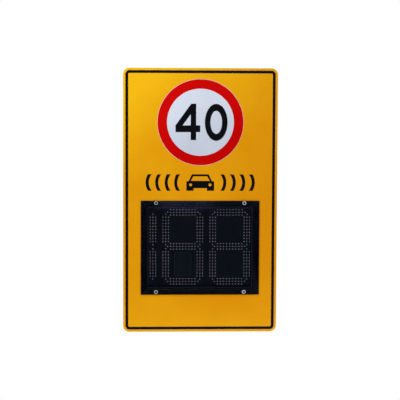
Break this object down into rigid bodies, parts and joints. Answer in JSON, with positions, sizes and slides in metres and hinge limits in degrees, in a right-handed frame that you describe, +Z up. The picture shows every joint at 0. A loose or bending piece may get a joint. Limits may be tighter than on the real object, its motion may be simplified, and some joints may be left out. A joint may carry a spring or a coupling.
{
  "type": "radar speed sign",
  "caption": "Post-mounted radar speed sign: yellow reflective face with a speed limit roundel above a dark window over segment digits and a radar sensor, on a shallow cabinet with clamps.",
  "frame": {"origin": "on the post's axis, midway between the two clamps, at the height of the face's centre", "axes": "+Z up along the post, -Y out of the face towards the traffic, +X to the right as the face is read"},
  "size_m": [0.6, 0.2271, 1.03],
  "materials": {
    "bare_aluminium": "mill",
    "yellow_sheeting": "satin",
    "white_sheeting": "satin",
    "red_film": "satin",
    "black_film": "satin",
    "tinted_window": "gloss",
    "black_rubber": "matte",
    "stainless_steel": "brushed",
    "black_plastic": "matte",
    "brass": "satin",
    "black_paint": "satin",
    "black_board": "satin",
    "green_board": "satin",
    "clear_led": "gloss",
    "red_led": "gloss",
    "radar_plastic": "satin",
    "grey_paint": "satin",
    "rail_aluminium": "brushed",
    "galvanised_steel": "galvanised",
    "black_anodised": "anodised",
    "battery_case": "satin"
  },
  "bodies": {
    "root": {"face_plate": "bare_aluminium", "yellow_sheeting": "yellow_sheeting", "roundel_disc": "white_sheeting", "roundel_ring": "red_film", "border_stripe": "black_film", "numeral_four": "black_film", "numeral_zero": "black_film", "legend_car": "black_film", "legend_waves": "black_film", "display_window": "tinted_window", "window_seal": "black_rubber", "cabinet_seal": "black_rubber", "rear_cover_seal": "black_rubber", "radar_lead": "black_rubber", "display_lead": "black_rubber", "supply_lead": "black_rubber", "battery_lead": "black_rubber", "window_washers": "stainless_steel", "window_screws": "stainless_steel", "small_screws": "stainless_steel", "gear_screws": "stainless_steel", "stud_nuts": "stainless_steel", "rear_cover_screws": "stainless_steel", "rail_screws": "stainless_steel", "rail_nuts": "stainless_steel", "rivet_nuts": "stainless_steel", "clamp_bolts": "stainless_steel", "clamp_washers": "stainless_steel", "clamp_nuts": "stainless_steel", "display_frame": "black_plastic", "gland_body": "black_plastic", "gland_cap": "black_plastic", "gland_locknut": "black_plastic", "breather_vent": "black_plastic", "terminal_block": "black_plastic", "frame_inserts": "brass", "board_standoffs": "brass", "gear_plate": "black_paint", "gear_plate_spacers": "black_paint", "battery_tray": "black_paint", "battery_strap": "black_paint", "hundreds_board": "black_board", "tens_board": "black_board", "units_board": "black_board", "control_board": "green_board", "radar_board": "green_board", "clear_leds": "clear_led", "red_leds": "red_led", "radar_cover": "radar_plastic", "radar_base": "radar_plastic", "cabinet": "grey_paint", "rear_cover": "grey_paint", "upper_rail": "rail_aluminium", "lower_rail": "rail_aluminium", "upper_clamp_saddle": "galvanised_steel", "lower_clamp_saddle": "galvanised_steel", "upper_clamp_strap": "galvanised_steel", "lower_clamp_strap": "galvanised_steel", "power_unit": "black_anodised", "battery": "battery_case"}
  },
  "joints": []
}
